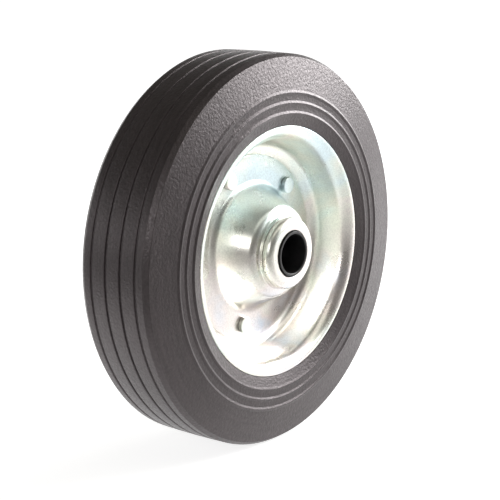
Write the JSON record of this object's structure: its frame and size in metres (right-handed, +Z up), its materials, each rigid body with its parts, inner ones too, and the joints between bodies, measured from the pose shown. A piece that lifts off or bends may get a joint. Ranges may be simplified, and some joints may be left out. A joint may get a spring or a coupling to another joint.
{
  "type": "jockey wheel",
  "caption": "Solid rubber jockey wheel with a pressed steel rim, riveted domed hub shells, end caps and a plain bushed bore for a fixed axle.",
  "frame": {"origin": "the wheel's centre: the middle of the bore, halfway between the two hub ends", "axes": "+Y along the axle towards the front face, +Z up, the wheel stands upright as in use"},
  "size_m": [0.2, 0.06, 0.2],
  "materials": {
    "tyre_rubber": "matt moulded solid rubber",
    "zinc_steel": "bright zinc plate",
    "bush_nylon": "black moulded nylon"
  },
  "bodies": {
    "root": {"tyre": "tyre_rubber", "rim_front": "zinc_steel", "rim_back": "zinc_steel", "hub_shell_front": "zinc_steel", "hub_shell_back": "zinc_steel", "hub_tube": "zinc_steel", "end_cap_front": "zinc_steel", "end_cap_back": "zinc_steel", "bush_front": "bush_nylon", "bush_back": "bush_nylon", "rivet_1": "zinc_steel", "rivet_2": "zinc_steel", "rivet_3": "zinc_steel", "rivet_4": "zinc_steel", "rivet_5": "zinc_steel"}
  },
  "joints": []
}
